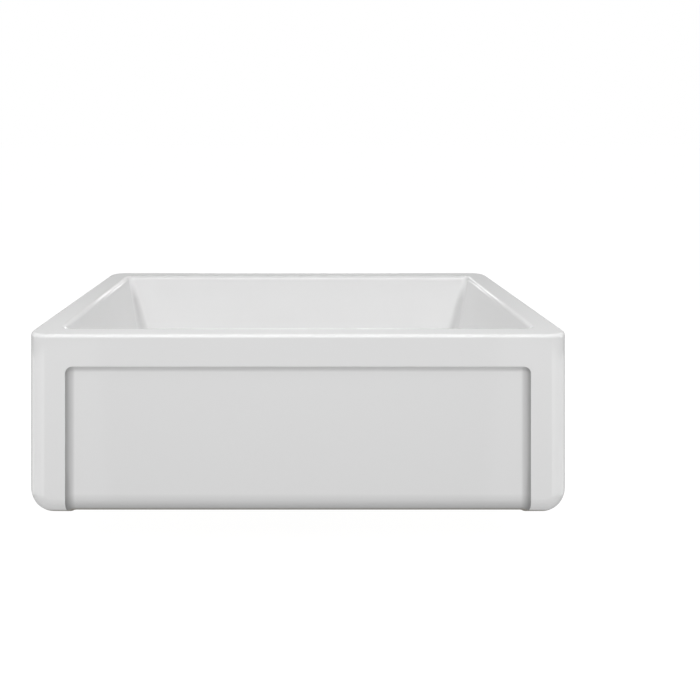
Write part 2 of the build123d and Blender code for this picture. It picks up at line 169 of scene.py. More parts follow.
def turned_knob(name, profile, segments=96):
    """Like turned, for a shape that is closed at its axis: the profile's two ends become capped poles."""
    radius, height = profile[0]
    deselect_all()
    bpy.ops.mesh.primitive_circle_add(
        vertices=segments, radius=radius, fill_type="TRIFAN", location=(0, 0, height)
    )
    piece = bpy.context.object
    piece.name = name
    bpy.ops.object.transform_apply(location=True, rotation=True, scale=True)
    edit_mode()
    bpy.ops.mesh.select_mode(type="EDGE")
    bpy.ops.mesh.select_all(action="SELECT")
    bpy.ops.mesh.region_to_loop()
    for next_radius, next_height in profile[1:]:
        rise = (0, 0, next_height - height)
        bpy.ops.mesh.extrude_region_move(TRANSFORM_OT_translate={"value": rise})
        widen = next_radius / radius
        bpy.ops.transform.resize(value=(widen, widen, 1), center_override=(0, 0, next_height))
        radius, height = next_radius, next_height
    bpy.ops.mesh.merge(type="CENTER")
    bpy.ops.mesh.select_all(action="SELECT")
    bpy.ops.mesh.normals_make_consistent(inside=False)
    object_mode()
    return piece


def apply_modifiers(piece):
    deselect_all()
    piece.select_set(True)
    bpy.context.view_layer.objects.active = piece
    for modifier in list(piece.modifiers):
        bpy.ops.object.modifier_apply(modifier=modifier.name)


def soften_edges(piece, width, segments=3, angle=35):
    """Rounds every edge that turns by more than the angle."""
    bevel = piece.modifiers.new("soft edges", "BEVEL")
    bevel.width = width
    bevel.segments = segments
    bevel.limit_method = "ANGLE"
    bevel.angle_limit = radians(angle)
    apply_modifiers(piece)


def smooth(piece, angle=35):
    deselect_all()
    piece.select_set(True)
    bpy.context.view_layer.objects.active = piece
    bpy.ops.object.shade_smooth_by_angle(angle=radians(angle))


def join(piece, *others):
    """Joins the other pieces into the first."""
    deselect_all()
    for other in others:
        other.select_set(True)
    piece.select_set(True)
    bpy.context.view_layer.objects.active = piece
    bpy.ops.object.join()
    return piece


def weld(piece, tool):
    """Adds the tool's solid to the piece's and removes the tool."""
    union = piece.modifiers.new("weld", "BOOLEAN")
    union.operation = "UNION"
    union.solver = "EXACT"
    union.object = tool
    apply_modifiers(piece)
    bpy.data.objects.remove(tool)


def select_faces(piece, wanted):
    """Leaves the piece in edit mode with the faces selected whose centre and normal pass the test."""
    deselect_all()
    piece.select_set(True)
    bpy.context.view_layer.objects.active = piece
    edit_mode()
    bpy.ops.mesh.select_mode(type="FACE")
    bpy.ops.mesh.select_all(action="DESELECT")
    object_mode()
    for face in piece.data.polygons:
        face.select = wanted(face.center, face.normal)
    edit_mode()


def threaded_sleeve(name, crest, depth, pitch, low, high, wall, segments=96):
    """A helical thread cut off square at both heights, with a plain bore a wall inside its root."""
    tooth = [(crest - depth, 0.15), (crest, 0.4), (crest, 0.6), (crest - depth, 0.85), (crest - depth, 1.0)]
    start = low - 2 * pitch
    deselect_all()
    bpy.ops.mesh.primitive_plane_add(size=pitch, location=(crest - depth, 0, start))
    sleeve = bpy.context.object
    sleeve.name = name
    bpy.ops.object.transform_apply(location=True, rotation=True, scale=True)
    edit_mode()
    bpy.ops.mesh.select_mode(type="VERT")
    bpy.ops.mesh.select_all(action="SELECT")
    bpy.ops.mesh.merge(type="CENTER")
    radius, share = crest - depth, 0.0
    for next_radius, next_share in tooth:
        step = (next_radius - radius, 0, (next_share - share) * pitch)
        bpy.ops.mesh.extrude_vertices_move(TRANSFORM_OT_translate={"value": step})
        radius, share = next_radius, next_share
    object_mode()
    screw = sleeve.modifiers.new("thread", "SCREW")
    screw.axis = "Z"
    screw.angle = 2 * pi
    screw.screw_offset = pitch
    screw.iterations = int((high - low) / pitch) + 4
    screw.steps = segments
    screw.render_steps = segments
    apply_modifiers(sleeve)
    edit_mode()
    bpy.ops.mesh.select_all(action="SELECT")
    bpy.ops.mesh.remove_doubles(threshold=1e-6)
    inward = (crest - depth - wall) / (crest - depth / 2)
    for height, direction in ((low, -1), (high, 1)):
        bpy.ops.mesh.select_all(action="SELECT")
        bpy.ops.mesh.bisect(plane_co=(0, 0, height), plane_no=(0, 0, direction), clear_outer=True)
        bpy.ops.mesh.extrude_region_move(TRANSFORM_OT_translate={"value": (0, 0, 0)})
        bpy.ops.transform.resize(value=(inward, inward, 1), center_override=(0, 0, height))
    bpy.ops.mesh.select_all(action="DESELECT")
    bpy.ops.mesh.select_mode(type="EDGE")
    bpy.ops.mesh.select_non_manifold(
        extend=False, use_wire=False, use_boundary=True, use_multi_face=False,
        use_non_contiguous=False, use_verts=False,
    )
    bpy.ops.mesh.bridge_edge_loops()
    bpy.ops.mesh.select_all(action="SELECT")
    bpy.ops.mesh.normals_make_consistent(inside=False)
    object_mode()
    return sleeve


# ================================================================ shader node helpers
def add_node(tree, kind, inputs, **options):
    """Adds a shader node, sets its options, and fills its inputs with values or other nodes' outputs."""
    node = tree.nodes.new("ShaderNode" + kind)
    for option, value in options.items():
        setattr(node, option, value)
    for socket, value in inputs.items():
        if isinstance(value, bpy.types.NodeSocket):
            tree.links.new(value, node.inputs[socket])
        else:
            node.inputs[socket].default_value = value
    return node


def calculate(tree, operation, first, second=0.0):
    return add_node(tree, "Math", {0: first, 1: second}, operation=operation).outputs[0]


def remap(tree, value, from_low, from_high, to_low, to_high, curve="LINEAR"):
    """Clamped change of range. A from_low above from_high turns the slope round."""
    inputs = {
        "Value": value, "From Min": from_low, "From Max": from_high, "To Min": to_low, "To Max": to_high
    }
    return add_node(tree, "MapRange", inputs, interpolation_type=curve).outputs[0]


def mix_colours(tree, share, first, second):
    node = add_node(tree, "Mix", {0: share, 6: first, 7: second}, data_type="RGBA")
    return node.outputs[2]


def object_point(tree):
    return add_node(tree, "TexCoord", {}).outputs["Object"]


def new_group(name, inputs, output):
    """A node group with number inputs at their usual values and one number output."""
    group = bpy.data.node_groups.new(name, "ShaderNodeTree")
    for label, value in inputs.items():
        socket = group.interface.new_socket(name=label, in_out="INPUT", socket_type="NodeSocketFloat")
        socket.default_value = value
    group.interface.new_socket(name=output, in_out="OUTPUT", socket_type="NodeSocketFloat")
    return group, group.nodes.new("NodeGroupInput").outputs, group.nodes.new("NodeGroupOutput").inputs


def use_group(tree, group, **inputs):
    node = tree.nodes.new("ShaderNodeGroup")
    node.node_tree = group
    for label, value in inputs.items():
        node.inputs[label].default_value = value
    return node.outputs[0]


# ================================================================ effects that several finishes share
def make_slow_waves():
    """Unevenness of a surface in metres: what firing, casting or moulding leaves."""
    group, given, made = new_group("slow_waves", {"Wavelength": 0.05, "Depth": 0.0001}, "Height")
    scale = calculate(group, "DIVIDE", 1.0, given["Wavelength"])
    noise = add_node(group, "TexNoise", {"Vector": object_point(group), "Scale": scale, "Detail": 1.5})
    centred = calculate(group, "SUBTRACT", noise.outputs[0], 0.5)
    group.links.new(calculate(group, "MULTIPLY", centred, given["Depth"]), made["Height"])
    return group


def make_lathe_lines():
    """Fine rings about the drain's axis, as turning, drawing or polishing on a spindle leaves."""
    group, given, made = new_group("lathe_lines", {"Pitch": 0.0004, "Depth": 0.000004}, "Height")
    point = add_node(group, "SeparateXYZ", {0: object_point(group)}).outputs
    across = calculate(group, "ADD", calculate(group, "POWER", point["X"], 2.0),
                       calculate(group, "POWER", point["Y"], 2.0))
    along = calculate(group, "ADD", calculate(group, "SQRT", across), point["Z"])
    place = calculate(group, "DIVIDE", along, given["Pitch"])
    noise = add_node(group, "TexNoise", {"W": place, "Scale": 1.0, "Detail": 2.0}, noise_dimensions="1D")
    centred = calculate(group, "SUBTRACT", noise.outputs[0], 0.5)
    group.links.new(calculate(group, "MULTIPLY", centred, given["Depth"]), made["Height"])
    return group


def make_edge_wear():
    """1 on outer edges, where a finish is rubbed away, broken up by a fine grain."""
    group, given, made = new_group("edge_wear", {"Width": 0.001, "Strength": 1.0}, "Mask")
    inside = add_node(group, "AmbientOcclusion", {"Distance": given["Width"]},
                      samples=8, inside=True, only_local=True)
    edge = remap(group, inside.outputs["AO"], 0.75, 0.35, 0.0, 1.0, "SMOOTHSTEP")
    grain = add_node(group, "TexNoise", {"Vector": object_point(group), "Scale": 700.0, "Detail": 3.0})
    broken = remap(group, grain.outputs[0], 0.35, 0.62, 0.25, 1.0)
    worn = calculate(group, "MULTIPLY", edge, broken)
    group.links.new(calculate(group, "MULTIPLY", worn, given["Strength"]), made["Mask"])
    return group


def make_handling():
    """Roughness that wanders between two values in soft patches, as wiping and handling leave."""
    group, given, made = new_group("handling", {"Patch": 0.03, "Low": 0.1, "High": 0.2}, "Roughness")
    scale = calculate(group, "DIVIDE", 1.0, given["Patch"])
    noise = add_node(group, "TexNoise", {"Vector": object_point(group), "Scale": scale, "Detail": 3.0})
    spread = remap(group, noise.outputs[0], 0.35, 0.65, given["Low"], given["High"])
    group.links.new(spread, made["Roughness"])
    return group


def make_speckle():
    """1 in small scattered grains, for bodies that aren't one even colour."""
    group, given, made = new_group("speckle", {"Grain": 0.0008, "Share": 0.3}, "Mask")
    scale = calculate(group, "DIVIDE", 1.0, given["Grain"])
    cells = add_node(group, "TexVoronoi", {"Vector": object_point(group), "Scale": scale})
    chance = add_node(group, "SeparateColor", {0: cells.outputs["Color"]}).outputs[0]
    chosen = calculate(group, "LESS_THAN", chance, given["Share"])
    middle = remap(group, cells.outputs["Distance"], 0.5, 0.3, 0.0, 1.0)
    group.links.new(calculate(group, "MULTIPLY", chosen, middle), made["Mask"])
    return group


slow_waves = make_slow_waves()
lathe_lines = make_lathe_lines()
edge_wear = make_edge_wear()
handling = make_handling()
speckle = make_speckle()

slot_colours = {material["slot"]: material["base_color"] for material in frame["record"]["materials"]}


# ================================================================ finishes
black = (0.0, 0.0, 0.0, 1.0)


def new_finish(name, slot, metallic=0.0, ior=1.5):
    """A material in its slot's colour. Returns it with its node tree, its shader and that colour."""
    material = bpy.data.materials.new(name)
    material.use_nodes = True
    tree = material.node_tree
    shader = tree.nodes["Principled BSDF"]
    colour = (*slot_colours[slot], 1.0)
    shader.inputs["Base Color"].default_value = colour
    shader.inputs["Metallic"].default_value = metallic
    shader.inputs["IOR"].default_value = ior
    return material, tree, shader, colour


def darker(colour, share):
    return tuple(channel * share for channel in colour[:3]) + (1.0,)


def add_bump(tree, shader, height, strength=1.0):
    """Height is in metres."""
    bump = add_node(tree, "Bump", {"Height": height, "Distance": 1.0, "Strength": strength})
    tree.links.new(bump.outputs[0], shader.inputs["Normal"])


def product(tree, *factors):
    total = factors[0]
    for factor in factors[1:]:
        total = calculate(tree, "MULTIPLY", total, factor)
    return total


def band(tree, value, low, high, fade):
    """1 where the value lies between low and high, down to 0 over the fade on either side."""
    above = remap(tree, value, low - fade, low, 0.0, 1.0)
    below = remap(tree, value, high, high + fade, 1.0, 0.0)
    return calculate(tree, "MULTIPLY", above, below)


def dim(tree, share, strength):
    """1 where the share is 0, and 1 less the strength where it is 1."""
    return calculate(tree, "SUBTRACT", 1.0, calculate(tree, "MULTIPLY", share, strength))


def panel_painted_shade(tree, x, y, z):
    """Painted shade on the panel: darker in the hollow corners at its sides and on the roll at its foot."""
    just_behind_face = sink_front_y + 0.0004
    behind_roll = sink_front_y + 4 * recess_depth
    darkest_shade_inset = 0.001  # from the recess's edge
    tone_in_recess_shade = 0.48
    roll_low = 0.002
    roll_high = 0.031
    tone_in_roll_shade = 0.53
    from_side = calculate(tree, "SUBTRACT", recess_half_width, calculate(tree, "ABSOLUTE", x))
    on_panel = product(
        tree,
        calculate(tree, "GREATER_THAN", from_side, 0.0),
        calculate(tree, "LESS_THAN", z, recess_top),
        calculate(tree, "GREATER_THAN", y, just_behind_face),
        calculate(tree, "LESS_THAN", y, behind_roll),
    )
    # painted shade in the recess's hollow side corners
    corner_shade = remap(tree, from_side, darkest_shade_inset, recess_shade_width, tone_in_recess_shade, 1.0)
    # painted shade on the roll at the panel's foot, which faces down away from the light
    roll = remap(tree, z, roll_low, roll_high, tone_in_roll_shade, 1.0)
    painted_shade = calculate(tree, "SUBTRACT", 1.0, calculate(tree, "MULTIPLY", corner_shade, roll))
    return dim(tree, painted_shade, on_panel)


def from_wall(tree, half_width, lean, drop, along):
    """Distance to the nearer of a pair of leaning walls, at a drop below the rim."""
    inset = calculate(tree, "MULTIPLY", drop, lean)
    wall = calculate(tree, "SUBTRACT", half_width, inset)
    return calculate(tree, "SUBTRACT", wall, calculate(tree, "ABSOLUTE", along))


def bowl_painted_shade(tree, x, y, z):
    """Painted shade in the bowl's upright corners, and over the bowl's inner back edge to dim its
    highlight.
    """
    corner_shade_strength = 0.24
    corner_shade_core = 0.30  # as shares of the corner's radius
    corner_shade_edge = 0.85
    corner_shade_stretch = 0.8  # the painted shade reaches farther along the side walls than along the back wall
    corner_shade_starts = 0.014  # below the rim
    corner_shade_is_full = 0.044
    wall_slack = 0.001
    edge_shade_strength = 0.20
    edge_shade_from = bowl_half_depth + 0.001
    edge_shade_to = bowl_half_depth + 0.006
    edge_shade_fade = 0.002
    edge_shade_depth = 0.012  # below the rim
    edge_shade_end = 0.004  # from the side walls
    drop = calculate(tree, "SUBTRACT", sink_high.z, z)
    from_side = from_wall(tree, bowl_half_width, side_wall_lean, drop, x)
    from_end = from_wall(tree, bowl_half_depth, end_wall_lean, drop, y)
    opening = calculate(tree, "MULTIPLY", drop, bowl_corner_opening)
    radius = calculate(tree, "ADD", bowl_rim_corner, opening)
    along_side = calculate(tree, "MULTIPLY", from_end, corner_shade_stretch)
    farther = calculate(tree, "DIVIDE", calculate(tree, "MAXIMUM", from_side, along_side), radius)
    nearer = calculate(tree, "MINIMUM", from_side, from_end)
    # painted shade in the bowl's upright corners
    corner_shade = product(
        tree,
        calculate(tree, "GREATER_THAN", nearer, -wall_slack),
        remap(tree, farther, corner_shade_core, corner_shade_edge, 1.0, 0.0),
        remap(tree, drop, corner_shade_starts, corner_shade_is_full, 0.0, 1.0),
    )
    # painted shade over the bowl's inner back edge, dimming its highlight
    back_edge_shade = product(
        tree,
        band(tree, y, edge_shade_from, edge_shade_to, edge_shade_fade),
        calculate(tree, "GREATER_THAN", from_side, edge_shade_end),
        calculate(tree, "LESS_THAN", drop, edge_shade_depth),
    )
    return product(tree, dim(tree, corner_shade, corner_shade_strength), dim(tree, back_edge_shade, edge_shade_strength))


def painted_glaze_shade(tree, place):
    """Painted shade on the glaze: 1 where unshaded, less in the hollow corners, on the panel's roll and
    over the bowl's back edge.
    """
    x, y, z = place["X"], place["Y"], place["Z"]
    return calculate(tree, "MULTIPLY", panel_painted_shade(tree, x, y, z), bowl_painted_shade(tree, x, y, z))


def glazed_fireclay():
    """Gloss white glaze with painted shade in its hollows, over its back edge and along the foot, matt
    towards the foot, and the fired clay bare under it.
    """
    material, tree, shader, white = new_finish("glazed fireclay", "glazed_fireclay", ior=1.52)
    # painted shade: the dark line along the foot, where light from below is missing
    painted_foot_shade_colour = (0.34, 0.32, 0.285, 1.0)
    fired_clay = (0.68, 0.62, 0.53, 1.0)
    grog_colour = (0.50, 0.42, 0.33, 1.0)
    place = add_node(tree, "SeparateXYZ", {0: object_point(tree)}).outputs
    # the white glaze darkened by the painted shade
    shaded_glaze = mix_colours(tree, painted_glaze_shade(tree, place), black, white)
    # share of the foot's painted shade, which also makes the glaze matt there
    foot_shade_and_matt = remap(tree, place["Z"], foot_shade_full, foot_shade_top, 1.0, 0.0)
    glaze = mix_colours(tree, foot_shade_and_matt, shaded_glaze, painted_foot_shade_colour)
    wander = use_group(tree, slow_waves, Wavelength=0.012, Depth=unglazed_wander)
    bare = calculate(tree, "LESS_THAN", calculate(tree, "ADD", place["Z"], wander), unglazed_height)
    grog = use_group(tree, speckle, Grain=0.0011, Share=0.35)
    clay = mix_colours(tree, grog, fired_clay, grog_colour)
    tree.links.new(mix_colours(tree, bare, glaze, clay), shader.inputs["Base Color"])
    wiped = use_group(tree, handling, Patch=0.16, Low=0.04, High=0.065)
    foot_roughness = calculate(tree, "MULTIPLY", foot_shade_and_matt, 0.6)
    clay_roughness = calculate(tree, "MULTIPLY", bare, 0.85)
    matt = calculate(tree, "MAXIMUM", foot_roughness, clay_roughness)
    tree.links.new(calculate(tree, "MAXIMUM", wiped, matt), shader.inputs["Roughness"])
    flow = use_group(tree, slow_waves, Wavelength=0.11, Depth=0.00018)
    peel = use_group(tree, slow_waves, Wavelength=0.014, Depth=0.000012)
    grit = use_group(tree, slow_waves, Wavelength=0.0012, Depth=0.00012)
    bare_grit = calculate(tree, "MULTIPLY", bare, grit)
    add_bump(tree, shader, calculate(tree, "ADD", calculate(tree, "ADD", flow, peel), bare_grit))
    return material


def spun_metal(name, slot, low, high, pitch=0.00045, depth=0.000003, worn=0.0):
    """Steel, chrome or zinc finished on a spindle: fine rings, patches left by handling, rubbed edges."""
    material, tree, shader, metal = new_finish(name, slot, metallic=1.0)
    tree.links.new(use_group(tree, handling, Patch=0.02, Low=low, High=high), shader.inputs["Roughness"])
    rubbed = use_group(tree, edge_wear, Width=0.0006, Strength=worn)
    tree.links.new(mix_colours(tree, rubbed, metal, darker(metal, 1.2)), shader.inputs["Base Color"])
    add_bump(tree, shader, use_group(tree, lathe_lines, Pitch=pitch, Depth=depth))
    return material


def turned_brass(name, slot):
    """Brass with brown tarnish in patches and bright crests."""
    material, tree, shader, brass = new_finish(name, slot, metallic=1.0)
    patches = add_node(tree, "TexNoise", {"Vector": object_point(tree), "Scale": 160.0, "Detail": 4.0})
    tarnish = remap(tree, patches.outputs[0], 0.48, 0.68, 0.0, 0.7)
    aged = mix_colours(tree, tarnish, brass, (0.36, 0.22, 0.09, 1.0))
    rubbed = use_group(tree, edge_wear, Width=0.0005, Strength=0.8)
    bright = (0.86, 0.70, 0.40, 1.0)
    tree.links.new(mix_colours(tree, rubbed, aged, bright), shader.inputs["Base Color"])
    tree.links.new(use_group(tree, handling, Patch=0.01, Low=0.22, High=0.42), shader.inputs["Roughness"])
    add_bump(tree, shader, use_group(tree, lathe_lines, Pitch=0.0005, Depth=0.000006))
    return material


def cast_zinc():
    """Die-cast zinc: dull grey skin, slightly lumpy, brighter where lugs and edges are rubbed."""
    material, tree, shader, zinc = new_finish("cast zinc", "cast_zinc", metallic=1.0)
    spangle = use_group(tree, speckle, Grain=0.0016, Share=0.45)
    skin = mix_colours(tree, spangle, zinc, darker(zinc, 0.84))
    rubbed = use_group(tree, edge_wear, Width=0.0012, Strength=0.9)
    tree.links.new(mix_colours(tree, rubbed, skin, darker(zinc, 1.45)), shader.inputs["Base Color"])
    tree.links.new(use_group(tree, handling, Patch=0.008, Low=0.42, High=0.6), shader.inputs["Roughness"])
    add_bump(tree, shader, use_group(tree, slow_waves, Wavelength=0.0022, Depth=0.00006))
    return material


def moulded_rubber(name, slot):
    """Black rubber: satin, with a faint bloom and a fine moulded grain."""
    material, tree, shader, rubber = new_finish(name, slot, ior=1.5)
    bloom = add_node(tree, "TexNoise", {"Vector": object_point(tree), "Scale": 90.0, "Detail": 3.0})
    dusty = remap(tree, bloom.outputs[0], 0.5, 0.75, 0.0, 0.5)
    tree.links.new(mix_colours(tree, dusty, rubber, (0.11, 0.11, 0.115, 1.0)), shader.inputs["Base Color"])
    tree.links.new(use_group(tree, handling, Patch=0.012, Low=0.45, High=0.62), shader.inputs["Roughness"])
    add_bump(tree, shader, use_group(tree, slow_waves, Wavelength=0.0008, Depth=0.00001))
    return material


def fibre_card():
    """Pressed fibre: brown card with darker fibres in it."""
    material, tree, shader, card = new_finish("fibre card", "fibre_card")
    fibres = add_node(tree, "TexNoise", {
        "Vector": object_point(tree), "Scale": 900.0, "Detail": 4.0, "Distortion": 2.5
    })
    dark = remap(tree, fibres.outputs[0], 0.5, 0.7, 0.0, 0.8)
    fleck = use_group(tree, speckle, Grain=0.0013, Share=0.12)
    pulp = mix_colours(tree, dark, card, darker(card, 0.62))
    tree.links.new(mix_colours(tree, fleck, pulp, darker(card, 1.35)), shader.inputs["Base Color"])
    shader.inputs["Roughness"].default_value = 0.9
    add_bump(tree, shader, use_group(tree, slow_waves, Wavelength=0.0006, Depth=0.00004))
    return material


def moulded_nylon():
    """White nylon, a little translucent at its edges and satin from the mould."""
    material, tree, shader, white = new_finish("moulded nylon", "white_nylon", ior=1.53)
    thin = use_group(tree, edge_wear, Width=0.0008, Strength=0.5)
    tree.links.new(mix_colours(tree, thin, white, (0.78, 0.76, 0.68, 1.0)), shader.inputs["Base Color"])
    tree.links.new(use_group(tree, handling, Patch=0.01, Low=0.3, High=0.42), shader.inputs["Roughness"])
    add_bump(tree, shader, use_group(tree, lathe_lines, Pitch=0.0008, Depth=0.000004))
    return material


def soft_putty():
    """Plumber's putty, pressed and wiped by hand."""
    material, tree, shader, putty = new_finish("soft putty", "putty")
    oily = add_node(tree, "TexNoise", {"Vector": object_point(tree), "Scale": 140.0, "Detail": 3.0})
    share = remap(tree, oily.outputs[0], 0.4, 0.7, 0.0, 0.6)
    tree.links.new(mix_colours(tree, share, putty, darker(putty, 0.74)), shader.inputs["Base Color"])
    tree.links.new(use_group(tree, handling, Patch=0.006, Low=0.55, High=0.8), shader.inputs["Roughness"])
    add_bump(tree, shader, use_group(tree, slow_waves, Wavelength=0.0035, Depth=0.0002))
    return material


# ================================================================ strainer pieces
def make_strainer_body():
    """Drawn steel: a flange with a rolled-down edge, a rounded throat and a cup with a rolled thread."""
    flange_radius, _, flange_top = extent("strainer_body")
    edge_gap = 0.001  # from the rolled edge down to the clay
    flange_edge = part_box("sealing_putty")[0].z + edge_gap
    throat = (cup_wall_radius + throat_radius, flange_top - throat_radius)
    roll = (flange_radius - sheet, flange_top - sheet)
    flat_ring = 0.004  # level band inside the rolled edge
    inner_corner = (cup_wall_radius - cup_corner, cup_floor_z + cup_corner)
    root_radius = thread_radius - cup_thread_depth
    outer_corner = (inner_corner[0] + root_radius - thread_radius, inner_corner[1])
    sunk_ring = outlet_bore + 0.004  # round the outlet the floor lies a little lower
    floor_start = outlet_bore + 0.0055
    floor_end = inner_corner[0] - 0.003
    floor_z = cup_floor_z + 0.0002
    plain_neck = 0.001  # without thread, under the throat
    thread_margin = 0.001
    segments = 144
    profile = (
        [(outlet_bore, cup_floor_z), (sunk_ring, cup_floor_z), (floor_start, floor_z), (floor_end, floor_z)]
        + arc(inner_corner, cup_corner, -88, 0, 8)
        + arc(throat, throat_radius, 180, 90, 8)
        + [(roll[0] - flat_ring, flange_top)]
        + arc(roll, sheet, 90, 0, 6)
        + [(flange_radius, flange_edge + edge_rounding), (flange_radius - sheet / 2, flange_edge)]
        + [(roll[0], flange_edge + edge_rounding), roll]
        + arc(throat, throat_radius - sheet, 90, 180, 6)
        + [(root_radius, throat[1] - plain_neck)]
        + arc(outer_corner, cup_corner + sheet, 0, -90, 8)
        + [(outlet_bore, cup_under_z)]
    )
    body = turned("strainer_flange_and_cup", profile, segments)
    smooth(body, 40)
    thread_low = inner_corner[1] + thread_margin
    thread_high = throat[1] - plain_neck - thread_margin
    thread = threaded_sleeve("cup_thread", thread_radius, cup_thread_depth, cup_thread_pitch,
                             thread_low, thread_high, thread_core, segments)
    smooth(thread, 60)
    return join(body, thread)


def make_outlet_nipple():
    """Turned brass nipple with its collar brazed under the cup."""
    _, low, high = extent("outlet_nipple")
    root = outlet_thread_radius - outlet_thread_depth
    collar_low = high - nipple_collar_height
    fillet = 0.0006
    chamfer = 0.001
    deburring = 0.0005
    undercut = 0.0012  # without thread, under the collar
    profile = (
        [(outlet_bore, high), (nipple_collar_radius - fillet, high)]
        + arc((nipple_collar_radius - fillet, high - fillet), fillet, 90, 0, 3)
        + arc((nipple_collar_radius - fillet, collar_low + fillet), fillet, 0, -90, 3)
        + [(root, collar_low), (root, low + chamfer), (root - chamfer, low)]
        + [(outlet_bore + deburring, low), (outlet_bore, low + deburring)]
    )
    nipple = turned("threaded_outlet", profile)
    smooth(nipple)
    thread = threaded_sleeve("outlet_thread", outlet_thread_radius, outlet_thread_depth,
                             outlet_thread_pitch, low + chamfer, collar_low - undercut, thread_core)
    smooth(thread, 60)
    return join(nipple, thread)


def make_locknut():
    """Cast ring nut with six lugs drawn out of its side."""
    lug_radius, low, high = extent("locknut")
    low, high = low + casting_slack, high - casting_slack
    bore = thread_radius + thread_clearance
    wall = 0.0065
    lugs = 6
    faces_between = 13  # from one lug to the next
    lug_faces = 3
    lug_taper = 0.94  # height of a lug's end, as a share of the ring's
    ring_radius = bore + wall
    chamfer = 0.0008
    profile = [
        (bore, low + chamfer), (bore + chamfer, low), (ring_radius, low), (ring_radius, high),
        (bore + chamfer, high), (bore, high - chamfer),
    ]
    nut = turned("lugged_locknut", profile, lugs * faces_between)
    half_lug = pi / lugs * lug_faces / faces_between

    def on_a_lug(centre, normal):
        turn = atan2(centre.y, centre.x) % (2 * pi / lugs)
        near = min(turn, 2 * pi / lugs - turn) < half_lug
        return near and abs(normal.z) < 0.1 and hypot(centre.x, centre.y) > bore + wall / 2

    select_faces(nut, on_a_lug)
    bpy.ops.mesh.extrude_region_move(TRANSFORM_OT_translate={"value": (0, 0, 0)})
    outwards = lug_radius / ring_radius
    middle = (0, 0, (low + high) / 2)
    bpy.ops.transform.resize(value=(outwards, outwards, lug_taper), center_override=middle)
    object_mode()
    soften_edges(nut, 0.0009, 4)
    smooth(nut, 30)
    return nut


def make_slip_nut():
    """Chromed nut with eight round ribs to grip and a lip that holds the tailpiece's flange."""
    outer_radius, low, high = extent("slip_nut")
    lip_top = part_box("tailpiece")[1].z - tube_flange_height
    lip_clearance = 0.00065
    lip_bore = tube_radius + lip_clearance
    bore = outlet_thread_radius + thread_clearance
    wall = 0.0036
    nut_radius = bore + wall
    ribs = 8
    rib_radius = outer_radius - nut_radius
    rib_margin = 0.0015  # how far the ribs end from the nut's two faces
    rib_rounding = 0.0011
    chamfer = 0.0009
    rounding = 0.0006
    profile = (
        [(lip_bore, low + chamfer), (lip_bore + chamfer, low)]
        + arc((nut_radius - rounding, low + rounding), rounding, -90, 0, 3)
        + arc((nut_radius - rounding, high - rounding), rounding, 0, 90, 3)
        + [(bore + chamfer, high), (bore, high - chamfer), (bore, lip_top), (lip_bore, lip_top)]
    )
    nut = turned("ribbed_slip_nut", profile, 16 * ribs)
    made = []
    for rib in range(ribs):
        turn = 2 * pi * rib / ribs
        deselect_all()
        bpy.ops.mesh.primitive_cylinder_add(
            vertices=32, radius=rib_radius, depth=high - low - 2 * rib_margin,
            location=(nut_radius * cos(turn), nut_radius * sin(turn), (low + high) / 2),
        )
        bpy.ops.object.transform_apply(location=True, rotation=True, scale=True)
        soften_edges(bpy.context.object, rib_rounding, 4, 60)
        made.append(bpy.context.object)
    weld(nut, join(*made))
    smooth(nut, 30)
    return nut


def make_tailpiece():
    """Chromed tube with a flat flange at its top and a deburred end."""
    flange_radius, low, high = extent("tailpiece")
    bore = tube_radius - tube_wall
    neck = high - tube_flange_height
    edge = 0.0004
    fillet = 0.0008
    step_high = low + 0.006  # below this the end is turned down a little
    step_low = low + 0.0055
    end_radius = tube_radius - 0.00012
    profile = (
        [(bore, high - edge), (bore + edge, high)]
        + arc((flange_radius - edge, high - edge), edge, 90, 0, 3)
        + arc((flange_radius - edge, neck + edge), edge, 0, -90, 3)
        + arc((tube_radius + fillet, neck - fillet), fillet, 90, 180, 4)
        + [(tube_radius, step_high), (end_radius, step_low), (end_radius, low + edge)]
        + [(tube_radius - edge, low), (bore + edge, low), (bore, low + edge)]
    )
    tube = turned("flanged_tailpiece", profile)
    smooth(tube, 40)
    return tube


def make_moulded_ring(name, node, bore, edge, seam):
    """Moulded rubber ring with rounded edges and the thin seam of its mould round the outside."""
    radius, low, high = extent(node)
    middle = (low + high) / 2
    profile = (
        arc((bore + edge, high - edge), edge, 180, 90, 4)
        + arc((radius - seam - edge, high - edge), edge, 90, 0, 4)
        + [(radius - seam, middle + seam), (radius, middle), (radius - seam, middle - seam)]
        + arc((radius - seam - edge, low + edge), edge, 0, -90, 4)
        + arc((bore + edge, low + edge), edge, -90, -180, 4)
    )
    made = turned(name, profile)
    smooth(made, 30)
    return made


def make_putty():
    """Putty bed under the flange, squeezed out past its edge and trimmed by hand."""
    outer_radius, low, high = extent("sealing_putty")
    bed_width = 0.0085
    inner = outer_radius - bed_width
    flange_radius = extent("strainer_body")[0]
    under_flange = flange_radius - sheet
    bed_edge = under_flange - 0.0002
    bead_top = low + 0.0009
    bead = 0.0006
    bead_centre = (flange_radius + bead, low + 0.0004)
    bead_inside = under_flange - 0.001
    profile = (
        [(inner, high), (bed_edge, high), (under_flange, bead_top)]
        + arc(bead_centre, bead, 80, -40, 5)
        + [(bead_inside, low), (inner, low)]
    )
    putty = turned("putty_bed", profile, 240)
    select_faces(putty, lambda centre, normal: hypot(centre.x, centre.y) > under_flange)
    bpy.ops.object.vertex_group_assign_new()
    object_mode()
    lumps = bpy.data.textures.new("putty lumps", "CLOUDS")
    lumps.noise_scale = 0.007
    displace = putty.modifiers.new("hand pressed", "DISPLACE")
    displace.texture = lumps
    displace.texture_coords = "LOCAL"
    displace.vertex_group = putty.vertex_groups[0].name
    displace.strength = 0.0008
    apply_modifiers(putty)
    smooth(putty, 60)
    return putty


